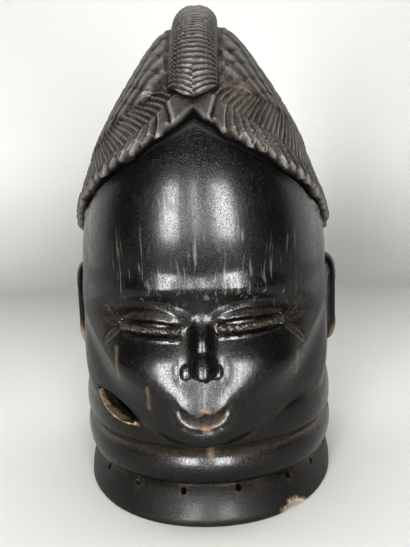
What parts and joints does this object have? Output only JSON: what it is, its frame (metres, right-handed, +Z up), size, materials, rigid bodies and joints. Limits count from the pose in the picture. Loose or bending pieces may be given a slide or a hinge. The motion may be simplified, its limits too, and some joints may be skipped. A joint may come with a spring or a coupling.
{
  "type": "sowei helmet mask",
  "caption": "Hollow carved wooden helmet mask: high smooth forehead, slit eyes, ribbed crest and plaited hair, ringed neck with a row of lacing holes above the rim.",
  "frame": {"origin": "on the ground under the middle of the mask, which stands on the rim of its neck", "axes": "+Z up, the face looks along -Y, +X is the viewer's right"},
  "size_m": [0.2438, 0.2939, 0.4136],
  "materials": {
    "stained_wood": "black stain, polished on the face and worn on the hair"
  },
  "bodies": {
    "root": {"helmet_mask": "stained_wood"}
  },
  "joints": []
}
